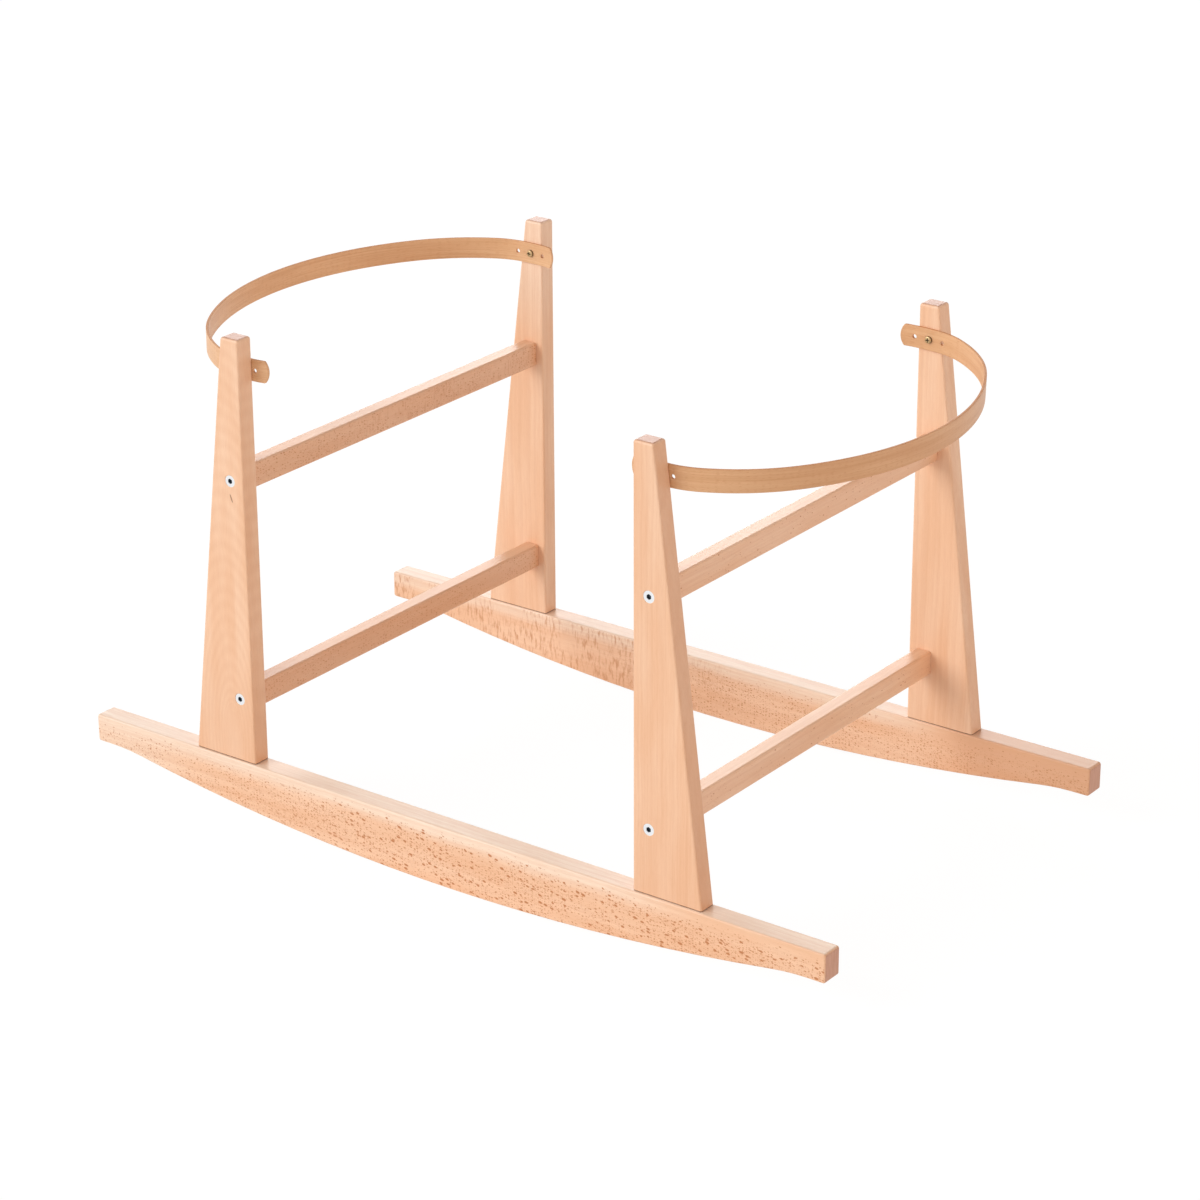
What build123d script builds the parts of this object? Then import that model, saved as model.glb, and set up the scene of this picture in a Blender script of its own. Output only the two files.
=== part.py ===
from build123d import *
import os
from math import asin, cos, degrees, hypot, radians, sin

# Rocking stand for a moses basket: two rockers, four tapered posts, four crossbars
# and two bentwood hoops that hold the basket's ends.
# X runs along the rockers, Y across the stand, Z up. The origin is on the floor,
# under the middle of the stand. Sizes are in millimetres.

# Rockers: a flat top, a sole that is one large arc, and a short level stretch at each end
rocker_length = 900.0
rocker_height = 64.0
rocker_thickness = 24.0
rocker_lip = 1.5
rocker_end_height = 30.0
rocker_end_length = 40.0
end_blend_radius = 250.0
end_top_radius = 3.0
end_bottom_radius = 3.0
rocker_edge_radius = 2.0

# Posts: upright on the side of the basket, slanted on the outer side
bay_length = 468.0
bay_width = 462.0
post_height = 448.0
post_foot_width = 78.0
post_top_width = 22.0
post_thickness = 20.0
post_edge_radius = 2.0
post_top_radius = 3.0
foot_chamfer = 0.6

# Crossbars between the posts' inner faces
crossbar_width = 18.0
crossbar_height = 26.0
crossbar_edge_radius = 2.5
crossbar_end_chamfer = 0.5
crossbar_setback = 8.5
lower_bar_rise = 67.5
upper_bar_rise = 300.5

# Countersunk socket bolts and the barrel nuts that they pull on
bolt_diameter = 6.0
bolt_length = 60.0
bolt_head_diameter = 12.0
bolt_head_sink = 0.5
bolt_tip_chamfer = 0.8
bolt_hole_clearance = 0.3
bolt_tip_room = 2.0
hex_across_flats = 5.0
hex_depth = 2.6
nut_diameter = 10.0
nut_length = 14.0
nut_depth = 30.0
nut_slot_width = 1.4
nut_slot_depth = 1.6

# Wooden dowels: one beside each bolt, and two under each post
bar_dowel_diameter = 6.0
bar_dowel_offset = 8.0
bar_dowel_in_post = 12.0
bar_dowel_in_bar = 16.0
foot_dowel_diameter = 8.0
foot_dowel_spacing = 40.0
foot_dowel_in_post = 30.0
foot_dowel_in_rocker = 28.0
dowel_chamfer = 0.8

# Bentwood hoops: a thin strip in the shape of a three-radius arch, flat where it is
# screwed to the post, with a curled-in tip that carries three holes
hoop_height = 22.5
hoop_thickness = 2.6
hoop_rise = 146.0
hoop_crown_angle = 33.0
hoop_haunch_angle = 28.5
hoop_end_radius = 71.0
hoop_land = 12.0
hoop_tip_radius = 100.0
hoop_edge_radius = 0.6
hoop_drop_from_top = 35.0
hoop_hole_pitch = 16.0
hoop_tip_margin = 15.0
hoop_tip_bulge = 4.0
hoop_tip_corner_radius = 2.0
hoop_droop = {"left": -0.6, "right": 1.7}

# Pan-head screws on which the hoops turn
screw_diameter = 4.4
screw_hole_clearance = 0.05
screw_in_post = 14.0
screw_point_length = 4.0
screw_head_diameter = 7.6
screw_head_height = 2.6
screw_head_edge_radius = 1.6
screw_cross_length = 4.6
screw_cross_width = 1.1
screw_cross_depth = 1.4

sides = {"left": -1, "right": 1}
rows = {"front": -1, "back": 1}
levels = {"lower": lower_bar_rise, "upper": upper_bar_rise}

# Places that several pieces share
post_inner_x = bay_length / 2
post_inner_y = bay_width / 2
post_outer_y = post_inner_y + post_thickness
post_middle_y = post_inner_y + post_thickness / 2
post_foot_z = rocker_height
foot_middle_x = post_inner_x + post_foot_width / 2
bar_x = post_inner_x + crossbar_setback + crossbar_width / 2
bolt_reach = bolt_head_sink + bolt_length
screw_rise = post_height - hoop_drop_from_top
width_at_screw = post_foot_width - (post_foot_width - post_top_width) * screw_rise / post_height
screw_x = post_inner_x + width_at_screw / 2
screw_z = post_foot_z + screw_rise


def bar_z(level):
    """Height of a crossbar's middle above the floor."""
    return post_foot_z + levels[level]


def facing(place, direction):
    """A plane at a place that looks along a direction; holes run the other way."""
    return Plane(origin=place, z_dir=direction)


def corners_at(reach, height):
    """The two corners of the open sketch that lie this far from its middle, at this height."""
    return vertices().filter_by(lambda v: hypot(abs(v.X) - reach, v.Y - height) < 0.01)


def make_rocker(row):
    """One rocker, with the dowel holes under both of its posts."""
    half_length = rocker_length / 2
    flat_start = half_length - rocker_end_length
    flat_z = rocker_height - rocker_end_height
    sole_radius = (flat_start**2 + flat_z**2) / (2 * flat_z)
    half_angle = asin(flat_start / sole_radius) / 2
    arc_middle = (sole_radius * sin(half_angle), sole_radius * (1 - cos(half_angle)))
    inner_y = row * (post_inner_y - rocker_lip)
    with BuildPart() as rocker:
        with BuildSketch(Plane(origin=(0, inner_y, 0), x_dir=(1, 0, 0), z_dir=(0, -1, 0))):
            with BuildLine():
                ThreePointArc((0, 0), arc_middle, (flat_start, flat_z))
                Line((flat_start, flat_z), (half_length, flat_z))
                Line((half_length, flat_z), (half_length, rocker_height))
                Line((half_length, rocker_height), (0, rocker_height))
                mirror(about=Plane.YZ)
            make_face()
            fillet(corners_at(half_length, rocker_height), end_top_radius)
            fillet(corners_at(half_length, flat_z), end_bottom_radius)
            fillet(corners_at(flat_start, flat_z), end_blend_radius)
        extrude(amount=rocker_thickness, dir=(0, row, 0))
        side_faces = faces().filter_by(Axis.Y)
        fillet(side_faces.edges(), rocker_edge_radius)
        for side in sides.values():
            for step in (-1, 1):
                dowel_x = side * (foot_middle_x + step * foot_dowel_spacing / 2)
                top = (dowel_x, row * post_middle_y, rocker_height)
                with Locations(facing(top, (0, 0, 1))):
                    Hole(radius=foot_dowel_diameter / 2, depth=foot_dowel_in_rocker)
    return rocker.part


def make_post(row, side):
    """One tapered post, with its bolt, dowel and screw holes."""
    front = Plane(origin=(side * post_inner_x, row * post_inner_y, post_foot_z),
                  x_dir=(side, 0, 0), z_dir=(0, -side, 0))
    with BuildPart() as post:
        with BuildSketch(front):
            with BuildLine():
                Polyline((0, 0), (post_foot_width, 0), (post_top_width, post_height),
                         (0, post_height), close=True)
            make_face()
        extrude(amount=post_thickness, dir=(0, row, 0))
        top_face = faces().sort_by(Axis.Z)[-1]
        fillet(top_face.edges(), post_top_radius)
        long_edges = edges().filter_by(lambda e: e.length > post_height / 2)
        fillet(long_edges, post_edge_radius)
        foot_face = faces().sort_by(Axis.Z)[0]
        chamfer(foot_face.edges(), foot_chamfer)
        for level in levels:
            outer = (side * bar_x, row * post_outer_y, bar_z(level))
            with Locations(facing(outer, (0, row, 0))):
                CounterSinkHole(radius=bolt_diameter / 2 + bolt_hole_clearance,
                                counter_sink_radius=bolt_head_diameter / 2 + bolt_head_sink,
                                depth=post_thickness, counter_sink_angle=90)
            inner = (side * bar_x, row * post_inner_y, bar_z(level) + bar_dowel_offset)
            with Locations(facing(inner, (0, -row, 0))):
                Hole(radius=bar_dowel_diameter / 2, depth=bar_dowel_in_post)
        for step in (-1, 1):
            dowel_x = side * (foot_middle_x + step * foot_dowel_spacing / 2)
            foot = (dowel_x, row * post_middle_y, post_foot_z)
            with Locations(facing(foot, (0, 0, -1))):
                Hole(radius=foot_dowel_diameter / 2, depth=foot_dowel_in_post)
        pilot = (side * screw_x, row * post_inner_y, screw_z)
        with Locations(facing(pilot, (0, -row, 0))):
            Hole(radius=screw_diameter / 2, depth=screw_in_post)
    return post.part


def make_crossbar(side, level):
    """One crossbar, with a bolt hole, a dowel hole and a barrel nut hole at each end."""
    middle = (side * bar_x, 0, bar_z(level))
    with BuildPart() as bar:
        with BuildSketch(Plane(origin=middle, x_dir=(1, 0, 0), z_dir=(0, 1, 0))):
            Rectangle(crossbar_width, crossbar_height)
        extrude(amount=bay_width / 2, both=True)
        fillet(edges().filter_by(Axis.Y), crossbar_edge_radius)
        chamfer(faces().filter_by(Axis.Y).edges(), crossbar_end_chamfer)
        underside_z = bar_z(level) - crossbar_height / 2
        for row in rows.values():
            end = (side * bar_x, row * post_inner_y, bar_z(level))
            with Locations(facing(end, (0, row, 0))):
                Hole(radius=bolt_diameter / 2 + bolt_hole_clearance,
                     depth=bolt_reach - post_thickness + bolt_tip_room)
            dowel = (side * bar_x, row * post_inner_y, bar_z(level) + bar_dowel_offset)
            with Locations(facing(dowel, (0, row, 0))):
                Hole(radius=bar_dowel_diameter / 2, depth=bar_dowel_in_bar)
            nut = (side * bar_x, row * (post_inner_y - nut_depth), underside_z)
            with Locations(facing(nut, (0, 0, -1))):
                Hole(radius=nut_diameter / 2, depth=crossbar_height / 2 + nut_length / 2)
    return bar.part


def arch_radii():
    """Crown and haunch radii with which the strip's middle line meets its flat ends."""
    crown = radians(hoop_crown_angle)
    turned = radians(hoop_crown_angle + hoop_haunch_angle)
    across = post_inner_y - hoop_thickness / 2 - hoop_end_radius * (1 - sin(turned))
    out = hoop_rise - hoop_end_radius * cos(turned)
    crown_share = (sin(crown), 1 - cos(crown))
    haunch_share = (sin(turned) - sin(crown), cos(crown) - cos(turned))
    whole = crown_share[0] * haunch_share[1] - haunch_share[0] * crown_share[1]
    crown_radius = (across * haunch_share[1] - haunch_share[0] * out) / whole
    haunch_radius = (crown_share[0] * out - across * crown_share[1]) / whole
    return crown_radius, haunch_radius


def draw_half_arch(shift):
    """Half of the arch, from its crown to the tip, shifted outwards from the middle line."""
    crown_radius, haunch_radius = arch_radii()
    start = (hoop_land / 2 + hoop_rise + shift, 0)
    end_angle = 90 - hoop_crown_angle - hoop_haunch_angle
    tip_length = hoop_hole_pitch + hoop_tip_margin - hoop_land / 2
    tip_angle = degrees(tip_length / hoop_tip_radius) + 2
    crown = JernArc(start, (0, 1), crown_radius + shift, hoop_crown_angle)
    haunch = JernArc(crown @ 1, crown % 1, haunch_radius + shift, hoop_haunch_angle)
    end = JernArc(haunch @ 1, haunch % 1, hoop_end_radius + shift, end_angle)
    land = Line(end @ 1, end @ 1 + Vector(-hoop_land, 0))
    tip = JernArc(land @ 1, (-1, 0), hoop_tip_radius + shift, tip_angle)
    return start, tip @ 1


def make_hoop(name):
    """One bentwood hoop, drooping a little about its screws."""
    side = sides[name]
    droop = radians(hoop_droop[name])
    outward = (side * cos(droop), 0, -sin(droop))
    upward = (side * sin(droop), 0, cos(droop))
    level = Plane(origin=(side * screw_x, 0, screw_z), x_dir=outward, z_dir=upward)
    elevation = Plane(origin=(side * screw_x, side * bay_width, screw_z),
                      x_dir=outward, z_dir=(0, -side, 0))
    tip_x = -hoop_hole_pitch - hoop_tip_margin
    crown_x = hoop_land / 2 + hoop_rise + hoop_thickness
    half_height = hoop_height / 2
    with BuildPart() as hoop:
        with BuildSketch(level):
            with BuildLine():
                outer_crown, outer_tip = draw_half_arch(hoop_thickness / 2)
                inner_crown, inner_tip = draw_half_arch(-hoop_thickness / 2)
                Line(outer_crown, inner_crown)
                Line(outer_tip, inner_tip)
            make_face()
            mirror(about=Plane.XZ)
        extrude(amount=half_height, both=True)
        with BuildSketch(elevation):
            with BuildLine():
                ThreePointArc((tip_x + hoop_tip_bulge, -half_height), (tip_x, 0),
                              (tip_x + hoop_tip_bulge, half_height))
                Polyline((tip_x + hoop_tip_bulge, half_height), (tip_x + hoop_tip_bulge, hoop_height),
                         (crown_x, hoop_height), (crown_x, -hoop_height),
                         (tip_x + hoop_tip_bulge, -hoop_height),
                         (tip_x + hoop_tip_bulge, -half_height))
            make_face()
        extrude(amount=2 * bay_width, mode=Mode.INTERSECT)
        tip_corners = edges().filter_by(lambda e: e.length < 1.5 * hoop_thickness)
        tip_corners = tip_corners.filter_by(lambda e: side * e.center().X < post_inner_x)
        fillet(tip_corners, hoop_tip_corner_radius)
        rims = faces().filter_by(lambda f: abs(f.normal_at().dot(level.z_dir)) > 0.99)
        fillet(rims.edges().filter_by(lambda e: e.length > hoop_land - 1), hoop_edge_radius)
        with BuildSketch(elevation):
            with Locations((-hoop_hole_pitch, 0), (0, 0), (hoop_hole_pitch, 0)):
                Circle(screw_diameter / 2 + screw_hole_clearance)
        extrude(amount=2 * bay_width, mode=Mode.SUBTRACT)
    return hoop.part


def make_bolt():
    """A countersunk socket bolt: its head's top is at the origin, and it points down."""
    head_radius = bolt_head_diameter / 2
    shank_radius = bolt_diameter / 2
    with BuildPart() as bolt:
        with BuildSketch(Plane.XZ):
            with BuildLine():
                Polyline((0, 0), (head_radius, 0), (shank_radius, shank_radius - head_radius),
                         (shank_radius, bolt_tip_chamfer - bolt_length),
                         (shank_radius - bolt_tip_chamfer, -bolt_length), (0, -bolt_length),
                         close=True)
            make_face()
        revolve(axis=Axis.Z)
        with BuildSketch():
            RegularPolygon(radius=hex_across_flats / 2, side_count=6, major_radius=False)
        extrude(amount=-hex_depth, mode=Mode.SUBTRACT)
    return bolt.part


def make_barrel_nut():
    """A barrel nut: upright, with a cross hole for the bolt and a screwdriver slot below."""
    with BuildPart() as nut:
        Cylinder(radius=nut_diameter / 2, height=nut_length)
        with Locations(Plane.XZ):
            Hole(radius=bolt_diameter / 2)
        with Locations((0, 0, -nut_length / 2)):
            Box(nut_diameter, nut_slot_width, 2 * nut_slot_depth, mode=Mode.SUBTRACT)
    return nut.part


def make_dowel(diameter, above, below):
    """A chamfered dowel that reaches above and below the origin."""
    with BuildPart() as dowel:
        with BuildSketch(Plane.XY.offset(-below)):
            Circle(diameter / 2)
        extrude(amount=above + below)
        chamfer(edges().filter_by(GeomType.CIRCLE), dowel_chamfer)
    return dowel.part


def make_screw():
    """A pan-head screw: its head's underside is at the origin, and it points down."""
    head_radius = screw_head_diameter / 2
    shank_radius = screw_diameter / 2
    tip_z = -hoop_thickness - screw_in_post
    with BuildPart() as screw:
        with BuildSketch(Plane.XZ):
            with BuildLine():
                Polyline((0, screw_head_height), (head_radius, screw_head_height), (head_radius, 0),
                         (shank_radius, 0), (shank_radius, tip_z + screw_point_length), (0, tip_z),
                         close=True)
            make_face()
            fillet(vertices().group_by(Axis.X)[-1].sort_by(Axis.Y)[-1], screw_head_edge_radius)
        revolve(axis=Axis.Z)
        with BuildSketch(Plane.XY.offset(screw_head_height)):
            Rectangle(screw_cross_length, screw_cross_width)
            Rectangle(screw_cross_width, screw_cross_length)
        extrude(amount=-screw_cross_depth, mode=Mode.SUBTRACT)
    return screw.part


def place(body, planes):
    """Copies of one small piece, one on each plane."""
    with BuildPart() as group:
        with Locations(*planes):
            add(body)
    return group.part


def write(part, name):
    part.label = name
    export_step(part, f"parts/{name}.step")


os.makedirs("parts", exist_ok=True)

for row_name, row in rows.items():
    write(make_rocker(row), f"rocker_{row_name}")
    for side_name, side in sides.items():
        write(make_post(row, side), f"post_{row_name}_{side_name}")

for side_name, side in sides.items():
    for level in levels:
        write(make_crossbar(side, level), f"crossbar_{side_name}_{level}")
    write(make_hoop(side_name), f"hoop_{side_name}")

bolt = make_bolt()
barrel_nut = make_barrel_nut()
bar_dowel = make_dowel(bar_dowel_diameter, bar_dowel_in_post, bar_dowel_in_bar)
foot_dowel = make_dowel(foot_dowel_diameter, foot_dowel_in_post, foot_dowel_in_rocker)
screw = make_screw()

for side_name, side in sides.items():
    bolt_planes = []
    nut_planes = []
    dowel_planes = []
    for row in rows.values():
        for level in levels:
            x = side * bar_x
            z = bar_z(level)
            bolt_planes.append(facing((x, row * (post_outer_y - bolt_head_sink), z), (0, row, 0)))
            nut_planes.append(facing((x, row * (post_inner_y - nut_depth), z), (0, 0, 1)))
            dowel_planes.append(facing((x, row * post_inner_y, z + bar_dowel_offset), (0, row, 0)))
    write(place(bolt, bolt_planes), f"crossbar_bolts_{side_name}")
    write(place(barrel_nut, nut_planes), f"barrel_nuts_{side_name}")
    write(place(bar_dowel, dowel_planes), f"crossbar_dowels_{side_name}")
    screw_seat_y = post_inner_y - hoop_thickness
    screw_planes = [facing((side * screw_x, row * screw_seat_y, screw_z), (0, -row, 0))
                    for row in rows.values()]
    write(place(screw, screw_planes), f"hoop_screws_{side_name}")

for row_name, row in rows.items():
    foot_planes = [Plane(origin=(side * (foot_middle_x + step * foot_dowel_spacing / 2),
                                 row * post_middle_y, post_foot_z))
                   for side in sides.values() for step in (-1, 1)]
    write(place(foot_dowel, foot_planes), f"foot_dowels_{row_name}")
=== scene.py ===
"""Rocking stand for a moses basket: beech finishes, plated fasteners, studio and camera."""

import math

import bmesh
import bpy
from mathutils import Matrix, Vector


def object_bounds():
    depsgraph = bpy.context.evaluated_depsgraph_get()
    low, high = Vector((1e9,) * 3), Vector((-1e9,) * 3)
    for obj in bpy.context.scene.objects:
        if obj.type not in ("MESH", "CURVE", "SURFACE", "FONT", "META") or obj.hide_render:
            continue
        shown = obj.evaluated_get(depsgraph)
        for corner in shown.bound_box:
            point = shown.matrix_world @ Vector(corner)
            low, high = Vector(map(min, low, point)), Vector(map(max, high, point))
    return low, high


bl_info = {
    "name": "Rocking Moses Basket Stand",
    "version": (1, 0, 0),
    "blender": (4, 5, 0),
    "location": "View3D > Sidebar > Stand",
    "description": "Finishes a rocking stand for a moses basket and sets its studio",
    "category": "Object",
}

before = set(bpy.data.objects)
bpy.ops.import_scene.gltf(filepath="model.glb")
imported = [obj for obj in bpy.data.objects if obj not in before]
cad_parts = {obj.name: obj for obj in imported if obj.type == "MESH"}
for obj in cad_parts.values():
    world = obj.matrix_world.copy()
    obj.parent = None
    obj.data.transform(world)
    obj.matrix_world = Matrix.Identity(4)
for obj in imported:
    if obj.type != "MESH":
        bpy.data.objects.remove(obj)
cad_low, cad_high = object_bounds()

MM = 1000.0  # millimetres in a metre
SENSOR = 36.0  # width of the camera's sensor in millimetres

ROCKERS = ("rocker_front", "rocker_back")
POSTS = ("post_front_left", "post_front_right", "post_back_left", "post_back_right")
CROSSBARS = ("crossbar_left_lower", "crossbar_left_upper",
             "crossbar_right_lower", "crossbar_right_upper")
HOOPS = ("hoop_left", "hoop_right")
BOLTS = ("crossbar_bolts_left", "crossbar_bolts_right")
NUTS = ("barrel_nuts_left", "barrel_nuts_right")
SCREWS = ("hoop_screws_left", "hoop_screws_right")
DOWELS = ("crossbar_dowels_left", "crossbar_dowels_right",
          "foot_dowels_front", "foot_dowels_back")

# millimetres: the hoops' hinge line and the top of the rockers, and the distances from the
# stand's middle plane where the painted shade deep in a bolt's socket and a screw's cross
# begins and where it is full
HOOP_HINGE = 247.2
POST_FOOT = 64.0
BOLT_SOCKET = (250.3, 249.2)
SCREW_CROSS = (226.8, 227.2)
# how far each hoop rises per millimetre outwards
HOOP_SLOPES = {"hoop_left": 0.0105, "hoop_right": -0.0297}

# directions in which the studio's lights shine
KEY_TOWARDS = (0.55, 0.72, -0.42)
BACK_TOWARDS = (0.57, -0.77, -0.29)
FILL_TOWARDS = (-1.0, 0.05, -0.12)
WHITE = (1.0, 1.0, 1.0)


class Wire:
    """A shader socket; arithmetic on it adds Math nodes."""

    def __init__(self, finish, socket):
        self.finish = finish
        self.socket = socket

    def maths(self, operation, *values):
        return self.finish.node("ShaderNodeMath", {"operation": operation}, values)["Value"]

    def __add__(self, other):
        return self.maths("ADD", self, other)

    __radd__ = __add__

    def __sub__(self, other):
        return self.maths("SUBTRACT", self, other)

    def __rsub__(self, other):
        return self.maths("SUBTRACT", other, self)

    def __mul__(self, other):
        return self.maths("MULTIPLY", self, other)

    __rmul__ = __mul__

    def __truediv__(self, other):
        return self.maths("DIVIDE", self, other)

    def __rtruediv__(self, other):
        return self.maths("DIVIDE", other, self)

    def __pow__(self, other):
        return self.maths("POWER", self, other)

    def __abs__(self):
        return self.maths("ABSOLUTE", self)

    def sine(self):
        return self.maths("SINE", self)

    def most(self, other):
        return self.maths("MAXIMUM", self, other)

    def between(self, low, high):
        """0 below low, 1 above high, smooth between them; low may be the higher one."""
        made = self.finish.node("ShaderNodeMapRange", {"interpolation_type": "SMOOTHSTEP"},
                                {"Value": self, "From Min": low, "From Max": high})
        return made["Result"]


class Outputs:
    """The outputs of a new node, by name."""

    def __init__(self, finish, node):
        self.finish = finish
        self.made = node

    def __getitem__(self, name):
        return Wire(self.finish, self.made.outputs[name])


class Finish:
    """The shader nodes of one material or world under construction."""

    def __init__(self, owner, output="ShaderNodeOutputMaterial"):
        self.owner = owner
        owner.use_nodes = True
        self.tree = owner.node_tree
        self.tree.nodes.clear()
        self.output = self.node(output).made

    def plug(self, value, socket):
        if isinstance(value, Wire):
            self.tree.links.new(value.socket, socket)
        else:
            socket.default_value = value

    def node(self, kind, settings=None, sockets=None):
        """Adds a node: its settings first, then values or links by socket name or in order."""
        made = self.tree.nodes.new(kind)
        for name, value in (settings or {}).items():
            setattr(made, name, value)
        if isinstance(sockets, dict):
            for name, value in sockets.items():
                self.plug(value, made.inputs[name])
        else:
            for place, value in enumerate(sockets or []):
                self.plug(value, made.inputs[place])
        return Outputs(self, made)

    def place_mm(self):
        """The point on the piece in millimetres, as three wires."""
        here = self.node("ShaderNodeTexCoord")["Object"]
        scaled = self.node("ShaderNodeVectorMath", {"operation": "SCALE"},
                           {"Vector": here, "Scale": MM})["Vector"]
        parts = self.node("ShaderNodeSeparateXYZ", None, {"Vector": scaled})
        return parts["X"], parts["Y"], parts["Z"]

    def normal(self):
        """The size of the piece's own normal along each axis."""
        facing = self.node("ShaderNodeTexCoord")["Normal"]
        parts = self.node("ShaderNodeSeparateXYZ", None, {"Vector": facing})
        return abs(parts["X"]), abs(parts["Y"]), abs(parts["Z"])

    def vector(self, x, y, z):
        return self.node("ShaderNodeCombineXYZ", None, {"X": x, "Y": y, "Z": z})["Vector"]

    def noise(self, x, y, z, detail=2.0, roughness=0.5):
        """Noise near 0.5 whose features are about as large as one unit."""
        made = self.node("ShaderNodeTexNoise", {"noise_dimensions": "3D"},
                         {"Vector": self.vector(x, y, z), "Scale": 1.0, "Detail": detail,
                          "Roughness": roughness})
        return made["Fac"]

    def spots(self, x, y, z):
        """Scattered cells one unit apart: distance to the nearest middle, and its own dice."""
        made = self.node("ShaderNodeTexVoronoi", {"feature": "F1", "voronoi_dimensions": "2D"},
                         {"Vector": self.vector(x + z, y, 0.0), "Scale": 1.0})
        dice = self.node("ShaderNodeSeparateColor", None, {"Color": made["Color"]})
        return made["Distance"], dice["Red"], dice["Green"]

    def mix(self, share, first, second):
        """Colour that goes from first at share 0 to second at share 1."""
        made = self.node("ShaderNodeMix", {"data_type": "RGBA", "clamp_factor": True},
                         {0: share, 6: first, 7: second})
        return made[2]

    def bump(self, height, strength, distance):
        return self.node("ShaderNodeBump", None,
                         {"Height": height, "Strength": strength, "Distance": distance})["Normal"]

    def surface(self, sockets):
        return self.finish(self.node("ShaderNodeBsdfPrincipled", None, sockets)["BSDF"])

    def finish(self, shader):
        self.plug(shader, self.output.inputs["Surface"])
        return self.owner


def new_finish(name):
    return Finish(bpy.data.materials.new(name))


def opaque(colour):
    """A colour with full cover, as a shader socket takes it."""
    return (*colour, 1.0)


def dress(names, finish_for):
    """Gives each named CAD node the material that finish_for makes for it."""
    for name in names:
        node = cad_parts[name]
        material = finish_for(name)
        node.data.materials.clear()
        node.data.materials.append(material)


def rgb(red, green, blue):
    """A colour written in screen values from 0 to 255, as linear light."""
    def linear(value):
        value /= 255.0
        return value / 12.92 if value <= 0.04045 else ((value + 0.055) / 1.055) ** 2.4
    return (linear(red), linear(green), linear(blue))


class WoodSettings(bpy.types.PropertyGroup):
    pale: bpy.props.FloatVectorProperty(
        name="Pale Beech", description="Lightest tone of the wood",
        default=rgb(247, 209, 178), size=3, min=0, max=1, subtype="COLOR")
    warm: bpy.props.FloatVectorProperty(
        name="Warm Beech", description="Deeper tone of the wood",
        default=rgb(240, 194, 158), size=3, min=0, max=1, subtype="COLOR")
    # also painted on every top face of the rockers as a painted sheen, besides the paler sapwood band
    sap: bpy.props.FloatVectorProperty(
        name="Sapwood", description="Palest tone, in the rockers' upper edges",
        default=rgb(250, 228, 207), size=3, min=0, max=1, subtype="COLOR")
    late: bpy.props.FloatVectorProperty(
        name="Late Wood", description="Tone of the growth lines",
        default=rgb(218, 160, 118), size=3, min=0, max=1, subtype="COLOR")
    fleck: bpy.props.FloatVectorProperty(
        name="Ray Fleck", description="Tone of the short brown ray flecks",
        default=rgb(192, 122, 72), size=3, min=0, max=1, subtype="COLOR")
    end_grain: bpy.props.FloatVectorProperty(
        name="End Grain", description="Tone of the cut ends",
        default=rgb(206, 156, 132), size=3, min=0, max=1, subtype="COLOR")
    # painted shadow: this colour paints the thin dark line where the posts meet the rockers, in place
    # of the joint's shade; it also marks the real flaw on the front left post
    flaw_and_foot_shade: bpy.props.FloatVectorProperty(
        name="Joint", description="Tone of the thin line under the posts' feet",
        default=rgb(120, 72, 46), size=3, min=0, max=1, subtype="COLOR")
    ring: bpy.props.FloatVectorProperty(
        name="End Rings", description="Tone of the growth rings in the cut ends",
        default=rgb(184, 128, 100), size=3, min=0, max=1, subtype="COLOR")
    roughness: bpy.props.FloatProperty(
        name="Roughness", description="Roughness of the satin lacquer",
        default=0.42, min=0, max=1, subtype="FACTOR")
    gloss: bpy.props.FloatProperty(
        name="Gloss", description="How strongly the satin lacquer reflects",
        default=0.55, min=0, max=1, subtype="FACTOR")
    grain_depth: bpy.props.FloatProperty(
        name="Grain Depth", description="Depth of the fine grain",
        default=0.00006, min=0, unit="LENGTH")


class HoopSettings(bpy.types.PropertyGroup):
    pale: bpy.props.FloatVectorProperty(
        name="Pale Strip", description="Lightest tone of the bent strip",
        default=rgb(234, 190, 146), size=3, min=0, max=1, subtype="COLOR")
    dark: bpy.props.FloatVectorProperty(
        name="Dark Strip", description="Tone of the bent strip's grain lines",
        default=rgb(208, 152, 104), size=3, min=0, max=1, subtype="COLOR")


class MetalSettings(bpy.types.PropertyGroup):
    zinc: bpy.props.FloatVectorProperty(
        name="Zinc", description="Colour of the bolts' bright plating",
        default=(0.86, 0.88, 0.90), size=3, min=0, max=1, subtype="COLOR")
    zinc_cloud: bpy.props.FloatVectorProperty(
        name="Zinc Cloud", description="Colour of the duller clouds in the bright plating",
        default=(0.62, 0.66, 0.70), size=3, min=0, max=1, subtype="COLOR")
    socket_shade: bpy.props.FloatVectorProperty(
        name="Socket", description="Colour deep in the bolts' sockets",
        default=(0.06, 0.08, 0.10), size=3, min=0, max=1, subtype="COLOR")
    nut: bpy.props.FloatVectorProperty(
        name="Nut Zinc", description="Colour of the barrel nuts' dull plating",
        default=(0.62, 0.63, 0.65), size=3, min=0, max=1, subtype="COLOR")
    nut_cloud: bpy.props.FloatVectorProperty(
        name="Nut Cloud", description="Colour of the darker clouds in the dull plating",
        default=(0.45, 0.46, 0.48), size=3, min=0, max=1, subtype="COLOR")
    brass: bpy.props.FloatVectorProperty(
        name="Brass", description="Colour of the hoop screws",
        default=(0.62, 0.44, 0.24), size=3, min=0, max=1, subtype="COLOR")
    brass_cloud: bpy.props.FloatVectorProperty(
        name="Brass Cloud", description="Colour of the darker clouds in the brass",
        default=(0.40, 0.27, 0.13), size=3, min=0, max=1, subtype="COLOR")
    cross_shade: bpy.props.FloatVectorProperty(
        name="Screw Cross", description="Colour deep in the screws' cross",
        default=(0.05, 0.035, 0.02), size=3, min=0, max=1, subtype="COLOR")


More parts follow.
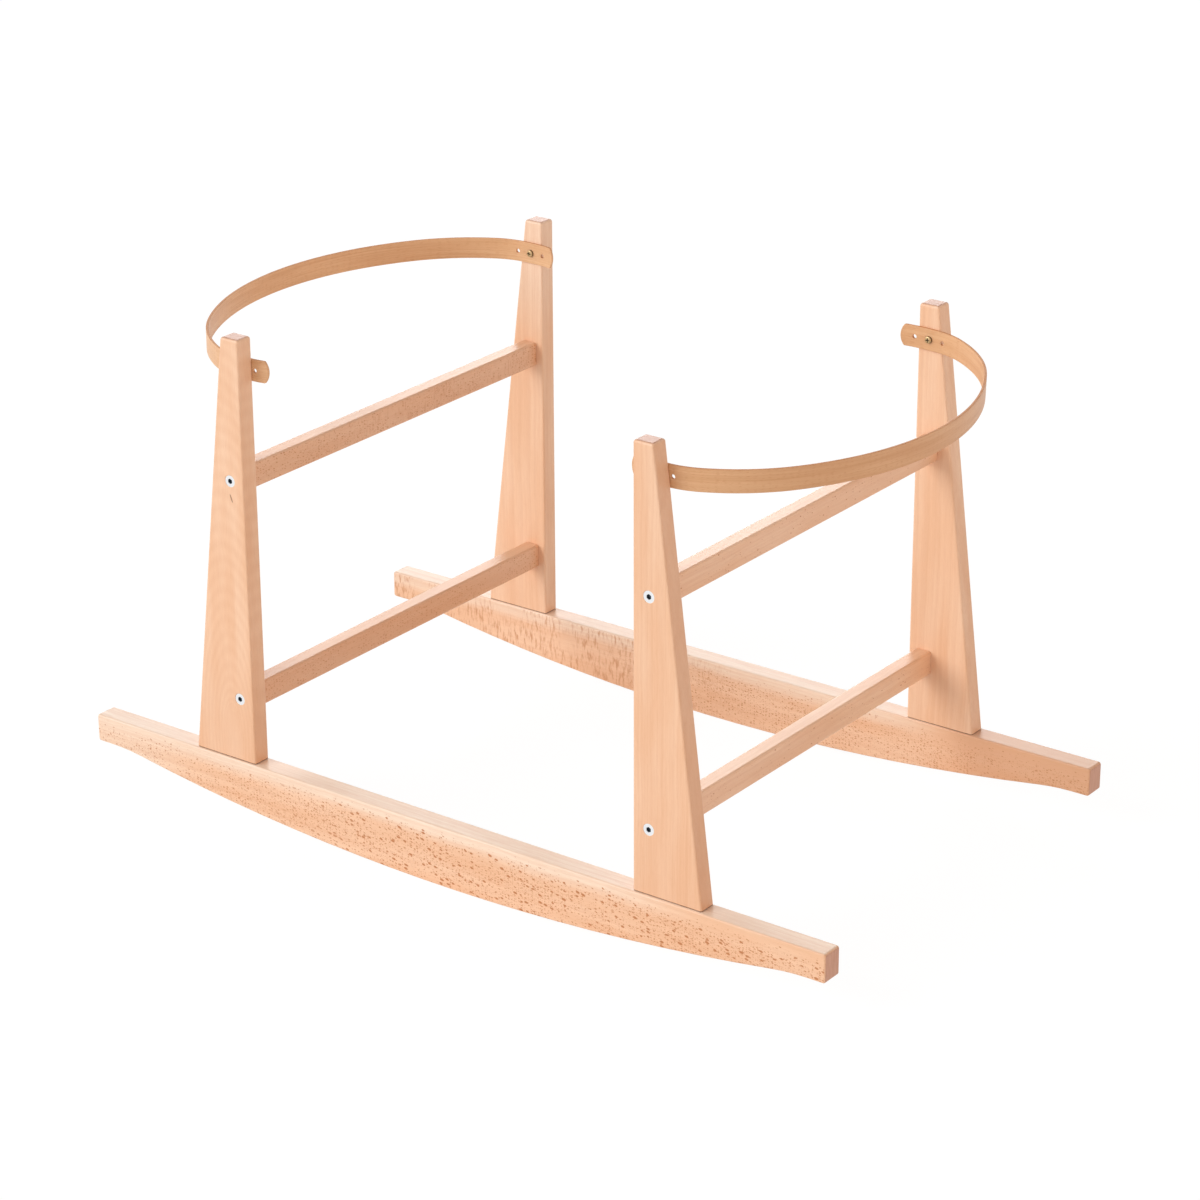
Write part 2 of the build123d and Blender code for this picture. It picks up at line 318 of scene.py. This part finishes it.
class StudioSettings(bpy.types.PropertyGroup):
    key_strength: bpy.props.FloatProperty(
        name="Key Light", description="Strength of the soft key light",
        default=1.7, min=0)
    key_angle: bpy.props.FloatProperty(
        name="Key Softness", description="Width of the key light as the stand sees it",
        default=math.radians(40), min=0, subtype="ANGLE")
    horizon_light: bpy.props.FloatProperty(
        name="Horizon Light", description="Strength of the light from all round, low down",
        default=0.9372, min=0)
    zenith_light: bpy.props.FloatProperty(
        name="Zenith Light", description="Strength of the light from straight above",
        default=0.297, min=0)
    ambient_tint: bpy.props.FloatVectorProperty(
        name="Ambient Tint", description="Colour of the light from all round",
        default=(1.0, 0.94, 0.89), size=3, min=0, max=1, subtype="COLOR")
    back_strength: bpy.props.FloatProperty(
        name="Back Light", description="Strength of the low light behind the stand",
        default=0.7, min=0)
    fill_strength: bpy.props.FloatProperty(
        name="Fill Light", description="Strength of the warm light from the stand's right",
        default=0.5, min=0)
    back_angle: bpy.props.FloatProperty(
        name="Back Softness", description="Width of the back light as the stand sees it",
        default=math.radians(25), min=0, subtype="ANGLE")
    fill_angle: bpy.props.FloatProperty(
        name="Fill Softness", description="Width of the fill light as the stand sees it",
        default=math.radians(50), min=0, subtype="ANGLE")
    fill_tint: bpy.props.FloatVectorProperty(
        name="Fill Tint", description="Colour of the fill light",
        default=(1.0, 0.5, 0.2), size=3, min=0, max=1, subtype="COLOR")
    floor_size: bpy.props.FloatProperty(
        name="Floor Size", description="Width of the floor",
        default=60.0, min=1, unit="LENGTH")
    camera_place: bpy.props.FloatVectorProperty(
        name="Camera Place", description="Where the camera stands",
        default=(2.015706, -2.710243, 1.620606), size=3, subtype="TRANSLATION", unit="LENGTH")
    camera_turn: bpy.props.FloatVectorProperty(
        name="Camera Turn", description="Camera's turn round the stand, height angle and roll",
        default=(math.radians(36.482), math.radians(22.583), math.radians(-0.253)), size=3,
        subtype="EULER", unit="ROTATION")
    camera_lens: bpy.props.FloatProperty(
        name="Lens", description="Focal length on a 36 mm square sensor, in millimetres",
        default=109.235, min=1)


# a stretch past every piece, for pieces that have no large flecks
NOWHERE = (1000.0, 1001.0)
# flecks whose cells are longer than this are large ones
LARGE_CELL = 5.0
FLECK_SLANT = 0.15
# millimetres along the grain from one piece's pattern to the next, and how far its lines wander
BOARD_STEP = 271.0
SWAY = 6.0
# half the width, half the length and the slant of the dark flaw
FLAW_SIZE = (1.1, 5.0)
FLAW_SLANT = 0.35
# heights above a post's foot where its painted shadow line at the joint begins and where it is full
FOOT_SHADE_LINE = (1.2, 0.6)
# sizes of the normal between which a face comes to count as turned one way
FACING = (0.75, 0.95)
FACE_ON = (0.8, 0.95)
FLECK_SIZES = (
    # cell length and height in mm, share of cells with a fleck, smallest and largest radius, weight
    (7.5, 3.8, 0.32, 0.16, 0.35, 1.0),
    (4.0, 2.0, 0.46, 0.15, 0.33, 0.85),
    (2.4, 1.1, 0.50, 0.16, 0.34, 0.6),
)


def ray_flecks(made, place, run, width, seed, share, figure):
    """Scattered short flecks of three sizes, thicker in some patches and lower down."""
    patch = made.noise(run / 60.0 + 9.0, width / 26.0, seed * 3.0, 1.0)
    thick = patch.between(0.2, 0.6)
    if "fleck_fade" in figure:
        top, full = figure["fleck_fade"]
        thick = width.between(top, full) * (0.35 + 0.65 * thick)
    if "fleck_from" in figure:
        thick = thick * place.between(*figure["fleck_from"])
    bend = made.noise(run / 1.5, width / 1.2, seed * 5.0, 1.0) - 0.5
    twist = made.noise(run / 1.5 + 40.0, width / 1.2, seed * 5.0, 1.0) - 0.5
    total = None
    for length, height, keep, least, most, weight in FLECK_SIZES:
        near, dice, spread = made.spots(run / length + (1.6 / length) * bend,
                                        (width + FLECK_SLANT * run) / height + (1.0 / height) * twist,
                                        seed * 7.0)
        there = (dice + keep * share * thick).between(1.0, 1.03)
        spot = (least + (most - least) * spread - near).between(-0.05, 0.06) * there * weight
        if length > LARGE_CELL and "large_from" in figure:
            spot = spot * place.between(*figure["large_from"])
        total = spot if total is None else total.most(spot)
    return total


def beech(name, along, seed, fleck_share, wood, figure):
    """Satin beech whose grain runs along one axis.

    The figure says whether the growth lines run straight or bow round a middle. It may add
    sapwood with a painted sheen on the top faces, tinted zones, ripples, where flecks fade or
    start, a deeper tone of the whole piece or of its sides, a flaw, and a painted shadow line
    under a foot.
    """
    made = new_finish(name)
    x, y, z = made.place_mm()
    place, width, depth = {"x": (x, z, y), "y": (y, z, x), "z": (z, x, y)}[along]
    facing = dict(zip("xyz", made.normal()))
    face_on = facing[{"x": "y", "y": "x", "z": "y"}[along]]
    end_on = facing[along].between(*FACING)
    run = place + BOARD_STEP * seed
    sway = made.noise(run / 90.0, width / 60.0, depth / 60.0, 1.0) - 0.5
    swayed = width + SWAY * sway

    tone = made.noise(run / 160.0, swayed / 22.0, depth / 25.0 + seed, 2.0)
    if figure["kind"] == "bowed":
        middle, height, stretch = figure["middle"], figure["height"], figure["stretch"]
        u = (swayed - middle) / figure["spacing"]
        v = (z - height) / (figure["spacing"] * stretch)
        reach = (u * u + v * v + depth * 0.02) ** 0.5 + 0.9 * sway
        lines = (reach * (2 * math.pi)).sine() * 0.5 + 0.5
    else:
        lines = made.noise(run / 420.0, swayed / figure["spacing"], depth / 6.0 + 3.0 * seed, 3.0,
                           0.6).between(0.35, 0.7)
    growth = lines * figure["strength"]
    fibre = made.noise(run / 14.0, width / 0.55, depth / 0.55, 2.0, 0.6)
    pores = made.noise(run / 5.0 + 50.0, width / 0.32, depth / 0.32, 1.0).between(0.62, 0.75)

    colour = made.mix(tone.between(0.3, 0.7), opaque(wood.pale), opaque(wood.warm))
    if "sap" in figure:
        low, high, full, gone = figure["sap"]
        band = swayed.between(low, high) * place.between(gone, full)
        # the sapwood band is the wood's own tone; the top faces take the same pale colour as a
        # painted sheen
        colour = made.mix(band.most(facing["z"].between(*FACING)), colour, opaque(wood.sap))
    for start, end, share, deeper in figure.get("zones", ()):
        colour = made.mix(place.between(start, end) * share, colour, opaque(getattr(wood, deeper)))
    colour = made.mix(growth, colour, opaque(wood.late))
    if "ripple" in figure:
        start, end, share = figure["ripple"]
        ripple = made.noise(run / 3.0, width / 13.0 + run / 50.0, seed * 11.0, 3.0, 0.6)
        ripple = ripple.between(0.46, 0.68) * face_on.between(*FACE_ON)
        patches = made.noise(run / 40.0, width / 40.0, seed * 13.0, 1.0).between(0.3, 0.55)
        colour = made.mix(ripple * patches * place.between(start, end) * share,
                          colour, opaque(wood.fleck))
    colour = made.mix((fibre - 0.5).between(-0.25, 0.35) * 0.28, colour, opaque(wood.late))
    colour = made.mix(pores * 0.14, colour, opaque(wood.fleck))

    if fleck_share > 0:
        shown = face_on.between(*FACE_ON)
        flecks = ray_flecks(made, place, run, width, seed, fleck_share, figure)
        colour = made.mix(flecks * shown, colour, opaque(wood.fleck))

    if "deep" in figure:
        colour = made.mix(figure["deep"], colour, opaque(wood.late))
    if "side" in figure:
        colour = made.mix(facing["x"].between(*FACING) * figure["side"], colour,
                          opaque(wood.late))
    rings = made.noise(run / 300.0, width / 14.0, depth / 1.3, 2.0)
    cut = made.mix(rings.between(0.35, 0.65) * 0.45, opaque(wood.end_grain), opaque(wood.ring))
    colour = made.mix(end_on * 0.92, colour, cut)
    if "flaw" in figure:
        beside, up = figure["flaw"]
        half_width, half_length = FLAW_SIZE
        lean = (x - beside + FLAW_SLANT * (z - up)) / half_width
        mark = lean * lean + ((z - up) / half_length) ** 2.0
        colour = made.mix(mark.between(1.0, 0.4) * 0.7, colour, opaque(wood.flaw_and_foot_shade))
    # painted shadow: a dark line just above where the post meets the rocker stands in for the shade
    # in the joint
    if "foot" in figure:
        foot = figure["foot"]
        begins, full = FOOT_SHADE_LINE
        colour = made.mix(z.between(foot + begins, foot + full), colour, opaque(wood.flaw_and_foot_shade))

    relief = fibre * 0.7 + pores * -0.5
    return made.surface({
        "Base Color": colour,
        "Roughness": wood.roughness + (fibre - 0.5) * 0.12 + end_on * 0.03,
        "Normal": made.bump(relief, 0.35, wood.grain_depth),
        "Specular IOR Level": wood.gloss,
    })


def rocker_finish(name):
    """Flecked beech, sapwood and painted sheen along the top; the back rocker is rippled on its left.
    """
    wood = bpy.context.scene.stand_wood
    seed = ROCKERS.index(name) + 1
    zones = {"rocker_front": ((-300.0, -400.0, 0.7, "sap"),),
             "rocker_back": ((230.0, 330.0, 0.6, "late"),)}[name]
    figure = {"kind": "straight", "spacing": 4.0, "strength": 0.3, "fleck_fade": (62.0, 42.0),
              "sap": (44.0, 58.0, 180.0, 310.0), "zones": zones}
    if name == "rocker_front":
        figure["large_from"] = (-300.0, -60.0)
    else:
        figure["fleck_from"] = (-160.0, 20.0)
        figure["large_from"] = NOWHERE
        figure["ripple"] = (40.0, -80.0, 0.75)
        figure["deep"] = 0.1
    return beech(name + "_beech", "x", seed, 1.0, wood, figure)


def post_finish(name):
    """Upright grain; the front left post is cut so that its lines bow."""
    wood = bpy.context.scene.stand_wood
    seed = POSTS.index(name) + 3
    if name == "post_front_left":
        figure = {"kind": "bowed", "middle": -262.0, "height": 86.0, "spacing": 5.0,
                  "stretch": 3.4, "strength": 0.15, "flaw": (-250.5, 347.0),
                  "zones": ((230.0, 80.0, 0.22, "late"),)}
    else:
        figure = {"kind": "straight", "spacing": 3.0, "strength": 0.25,
                  "zones": ((230.0, 80.0, 0.12, "late"),)}
    if name == "post_front_right":
        figure["deep"] = 0.12
        figure["side"] = 0.3
    if name == "post_back_left":
        figure["zones"] += ((370.0, 470.0, 0.55, "sap"),)
    # painted shadow line where each post meets its rocker
    figure["foot"] = POST_FOOT
    return beech(name + "_beech", "z", seed, 0.0, wood, figure)


def crossbar_finish(name):
    """Straight grain; the left bars are deeper in tone and more flecked."""
    wood = bpy.context.scene.stand_wood
    seed = CROSSBARS.index(name) + 8
    figure = {"kind": "straight", "spacing": 3.5, "strength": 0.3, "large_from": NOWHERE}
    share = {"crossbar_left_upper": 0.85, "crossbar_left_lower": 0.75}.get(name, 0.15)
    if name == "crossbar_left_lower":
        figure["deep"] = 0.45
    if name == "crossbar_left_upper":
        figure["deep"] = 0.3
        figure["ripple"] = (-120.0, 0.0, 0.4)
    return beech(name + "_beech", "y", seed, share, wood, figure)


def hoop_finish(name):
    """Steam-bent beech: the grain follows the strip round."""
    look = bpy.context.scene.stand_hoop
    wood = bpy.context.scene.stand_wood
    side = -1.0 if name == "hoop_left" else 1.0
    made = new_finish(name + "_beech")
    x, y, z = made.place_mm()
    out = x * side - HOOP_HINGE
    turn = made.node("ShaderNodeMath", {"operation": "ARCTAN2"}, [y, out + 40.0])["Value"]
    run = turn * 200.0 + 500.0 * (side + 2.0)
    width = z - out * HOOP_SLOPES[name]
    tone = made.noise(run / 120.0, width / 9.0, side * 4.0, 2.0)
    lines = made.noise(run / 160.0, width / 1.5, side * 7.0, 3.0, 0.6)
    fibre = made.noise(run / 18.0, width / 0.5, out / 3.0, 2.0)
    near, dice, _ = made.spots(run / 7.0, width / 1.1, out / 30.0)
    dash = (0.24 - near).between(-0.05, 0.1) * dice.between(0.62, 0.66)
    darker = 0.3 if name == "hoop_right" else 0.0
    colour = made.mix(tone.between(0.3, 0.7) * 0.45 + darker, opaque(look.pale), opaque(look.dark))
    colour = made.mix(lines.between(0.45, 0.7) * 0.55, colour, opaque(look.dark))
    colour = made.mix((fibre - 0.5).between(-0.2, 0.3) * 0.25, colour, opaque(look.dark))
    colour = made.mix(dash * 0.35, colour, opaque(wood.fleck))
    rim = made.normal()[2].between(0.3, 0.8)
    colour = made.mix(rim * 0.6, colour, opaque(wood.fleck))
    return made.surface({
        "Base Color": colour,
        "Roughness": wood.roughness + (fibre - 0.5) * 0.12 + rim * 0.25,
        "Normal": made.bump(fibre, 0.3, wood.grain_depth),
        "Specular IOR Level": wood.gloss,
    })


def dowel_finish(name):
    """Bare compressed beech."""
    wood = bpy.context.scene.stand_wood
    made = new_finish(name + "_wood")
    x, y, z = made.place_mm()
    fibre = made.noise(x / 1.2, y / 1.2, z / 1.2, 3.0)
    colour = made.mix(fibre.between(0.3, 0.7), opaque(wood.warm), opaque(wood.late))
    return made.surface({"Base Color": colour, "Roughness": 0.7 + (fibre - 0.5) * 0.2,
                         "Normal": made.bump(fibre, 0.4, 0.0001)})


def bolt_finish(name):
    """Bright zinc with faint turning marks; the socket is darker with painted shade."""
    metal = bpy.context.scene.stand_metal
    made = new_finish(name + "_zinc")
    x, y, z = made.place_mm()
    cloud = made.noise(x / 2.0, y / 2.0, z / 2.0, 3.0)
    scratch = made.noise(x / 0.25, y / 4.0, z / 0.25, 2.0)
    # painted shade: the socket's recess is coloured near black and made less metallic in place of its
    # shade
    depth_in = abs(y).between(*BOLT_SOCKET)
    colour = made.mix(cloud.between(0.3, 0.8) * 0.25, opaque(metal.zinc), opaque(metal.zinc_cloud))
    colour = made.mix(depth_in, colour, opaque(metal.socket_shade))
    return made.surface({"Base Color": colour, "Metallic": 1.0 - depth_in * 0.4,
                         "Roughness": 0.26 + cloud * 0.16 + depth_in * 0.2,
                         "Normal": made.bump(scratch, 0.15, 0.00004)})


def nut_finish(name):
    """Dull zinc."""
    metal = bpy.context.scene.stand_metal
    made = new_finish(name + "_zinc")
    x, y, z = made.place_mm()
    cloud = made.noise(x / 3.0, y / 3.0, z / 3.0, 3.0)
    turned = made.noise(x / 40.0, y / 40.0, z / 0.3, 2.0)
    colour = made.mix(cloud.between(0.3, 0.7), opaque(metal.nut), opaque(metal.nut_cloud))
    return made.surface({"Base Color": colour, "Metallic": 1.0, "Roughness": 0.4 + cloud * 0.2,
                         "Normal": made.bump(turned, 0.2, 0.00004)})


def screw_finish(name):
    """Satin brass, with painted shade deep in the cross."""
    metal = bpy.context.scene.stand_metal
    made = new_finish(name + "_brass")
    x, y, z = made.place_mm()
    cloud = made.noise(x / 1.5, y / 1.5, z / 1.5, 3.0)
    # painted shade: the cross recess is coloured near black and made less metallic in place of its
    # shade
    depth_in = abs(y).between(*SCREW_CROSS)
    colour = made.mix(cloud.between(0.3, 0.7) * 0.5, opaque(metal.brass), opaque(metal.brass_cloud))
    colour = made.mix(depth_in, colour, opaque(metal.cross_shade))
    return made.surface({"Base Color": colour, "Metallic": 1.0 - depth_in * 0.5,
                         "Roughness": 0.34 + cloud * 0.2,
                         "Normal": made.bump(cloud, 0.15, 0.00004)})


class STAND_OT_rockers(bpy.types.Operator):
    """Gives both rockers flecked beech with grain along them"""
    bl_idname = "stand.rockers"
    bl_label = "Rockers"

    def execute(self, context):
        dress(ROCKERS, rocker_finish)
        return {"FINISHED"}


class STAND_OT_posts(bpy.types.Operator):
    """Gives the four posts upright beech grain"""
    bl_idname = "stand.posts"
    bl_label = "Posts"

    def execute(self, context):
        dress(POSTS, post_finish)
        return {"FINISHED"}


class STAND_OT_crossbars(bpy.types.Operator):
    """Gives the four crossbars beech grain along them"""
    bl_idname = "stand.crossbars"
    bl_label = "Crossbars"

    def execute(self, context):
        dress(CROSSBARS, crossbar_finish)
        return {"FINISHED"}


class STAND_OT_hoops(bpy.types.Operator):
    """Gives both hoops bent beech whose grain follows the strip"""
    bl_idname = "stand.hoops"
    bl_label = "Hoops"

    def execute(self, context):
        dress(HOOPS, hoop_finish)
        return {"FINISHED"}


class STAND_OT_fasteners(bpy.types.Operator):
    """Gives the bolts, barrel nuts, screws and dowels their metal and wood"""
    bl_idname = "stand.fasteners"
    bl_label = "Fasteners"

    def execute(self, context):
        dress(BOLTS, bolt_finish)
        dress(NUTS, nut_finish)
        dress(SCREWS, screw_finish)
        dress(DOWELS, dowel_finish)
        return {"FINISHED"}


FLOOR_SHADES = ((0.90, 0.90, 0.90), (0.92, 0.92, 0.92))
FLOOR_WHITE = 1.06  # strength of the white that the camera and reflections see
FLOOR_WHITE_SHARE = 0.88  # the rest of what they see is lit, and so keeps the shadow


def floor_finish():
    """White floor that looks white to the camera and keeps a faint shadow."""
    made = new_finish("studio_floor")
    rays = made.node("ShaderNodeLightPath")
    seen = rays["Is Camera Ray"].most(rays["Is Glossy Ray"]).most(rays["Is Transmission Ray"])
    x, y, z = made.place_mm()
    cloud = made.noise(x / 400.0, y / 400.0, z, 2.0)
    darker, lighter = FLOOR_SHADES
    tint = made.mix(cloud, opaque(darker), opaque(lighter))
    paint = made.node("ShaderNodeBsdfDiffuse", None, {"Color": tint})["BSDF"]
    white = made.node("ShaderNodeEmission", None,
                      {"Color": opaque(WHITE), "Strength": FLOOR_WHITE})["Emission"]
    mixed = made.node("ShaderNodeMixShader", None,
                      [seen * FLOOR_WHITE_SHARE, paint, white])["Shader"]
    return made.finish(mixed)


def make_floor(studio):
    mesh = bpy.data.meshes.new("studio_floor")
    shape = bmesh.new()
    bmesh.ops.create_grid(shape, x_segments=1, y_segments=1, size=studio.floor_size / 2,
                          matrix=Matrix.Translation((0, 0, cad_low.z)))
    shape.to_mesh(mesh)
    shape.free()
    mesh.materials.append(floor_finish())
    floor = bpy.data.objects.new("studio_floor", mesh)
    bpy.context.scene.collection.objects.link(floor)


def make_world(studio):
    """Soft light, strongest near the horizon; the camera and the sheen see plain white."""
    world = bpy.data.worlds.new("studio_world")
    bpy.context.scene.world = world
    made = Finish(world, "ShaderNodeOutputWorld")
    here = made.node("ShaderNodeTexCoord")["Generated"]
    height = made.node("ShaderNodeSeparateXYZ", None, {"Vector": here})["Z"]
    fade = made.node("ShaderNodeMapRange", None, {
        "Value": height, "From Min": 0.05, "From Max": 0.9,
        "To Min": studio.horizon_light, "To Max": studio.zenith_light})["Result"]
    soft = made.node("ShaderNodeBackground", None,
                     {"Color": opaque(studio.ambient_tint), "Strength": fade})["Background"]
    white = made.node("ShaderNodeBackground", None, {"Color": opaque(WHITE)})["Background"]
    rays = made.node("ShaderNodeLightPath")
    seen = rays["Is Camera Ray"].most(rays["Is Glossy Ray"]).most(rays["Is Transmission Ray"])
    made.finish(made.node("ShaderNodeMixShader", None, [seen, soft, white])["Shader"])


def make_light(name, strength, towards, angle, colour):
    """A soft distant light that shines along a direction."""
    light = bpy.data.lights.new(name, "SUN")
    light.energy = strength
    light.angle = angle
    light.color = colour
    lamp = bpy.data.objects.new(name, light)
    lamp.rotation_mode = "QUATERNION"
    lamp.rotation_quaternion = Vector(towards).to_track_quat("-Z", "Y")
    bpy.context.scene.collection.objects.link(lamp)


def make_camera(studio):
    data = bpy.data.cameras.new("studio_camera")
    data.sensor_width = SENSOR
    data.lens = studio.camera_lens
    camera = bpy.data.objects.new("studio_camera", data)
    turn, height, roll = studio.camera_turn
    camera.matrix_world = (Matrix.Translation(studio.camera_place)
                           @ Matrix.Rotation(turn, 4, "Z")
                           @ Matrix.Rotation(math.radians(90) - height, 4, "X")
                           @ Matrix.Rotation(roll, 4, "Z"))
    bpy.context.scene.collection.objects.link(camera)
    bpy.context.scene.camera = camera


class STAND_OT_studio(bpy.types.Operator):
    """Adds the floor, soft light and camera"""
    bl_idname = "stand.studio"
    bl_label = "Studio"

    def execute(self, context):
        studio = context.scene.stand_studio
        make_floor(studio)
        make_world(studio)
        make_light("key_light", studio.key_strength, KEY_TOWARDS, studio.key_angle, WHITE)
        make_light("back_light", studio.back_strength, BACK_TOWARDS, studio.back_angle, WHITE)
        make_light("fill_light", studio.fill_strength, FILL_TOWARDS, studio.fill_angle,
                   studio.fill_tint)
        make_camera(studio)
        context.scene.view_settings.view_transform = "Standard"
        return {"FINISHED"}


class STAND_PT_panel(bpy.types.Panel):
    """Lists the stand's steps and settings"""
    bl_label = "Rocking Stand"
    bl_space_type = "VIEW_3D"
    bl_region_type = "UI"
    bl_category = "Stand"

    def draw(self, context):
        for operator in OPERATORS:
            self.layout.operator(operator.bl_idname)
        for group in SETTINGS:
            settings = getattr(context.scene, group)
            for name in settings.bl_rna.properties.keys():
                if name not in {"rna_type", "name"}:
                    self.layout.prop(settings, name)


SETTINGS = {"stand_wood": WoodSettings, "stand_hoop": HoopSettings,
            "stand_metal": MetalSettings, "stand_studio": StudioSettings}
OPERATORS = (STAND_OT_rockers, STAND_OT_posts, STAND_OT_crossbars, STAND_OT_hoops,
             STAND_OT_fasteners, STAND_OT_studio)


def register():
    for group, settings in SETTINGS.items():
        bpy.utils.register_class(settings)
        setattr(bpy.types.Scene, group, bpy.props.PointerProperty(type=settings))
    for operator in OPERATORS:
        bpy.utils.register_class(operator)
    bpy.utils.register_class(STAND_PT_panel)


def unregister():
    bpy.utils.unregister_class(STAND_PT_panel)
    for operator in reversed(OPERATORS):
        bpy.utils.unregister_class(operator)
    for group, settings in SETTINGS.items():
        delattr(bpy.types.Scene, group)
        bpy.utils.unregister_class(settings)


def main():
    register()
    for step in ("rockers", "posts", "crossbars", "hoops", "fasteners", "studio"):
        getattr(bpy.ops.stand, step)()


if __name__ == "__main__":
    main()
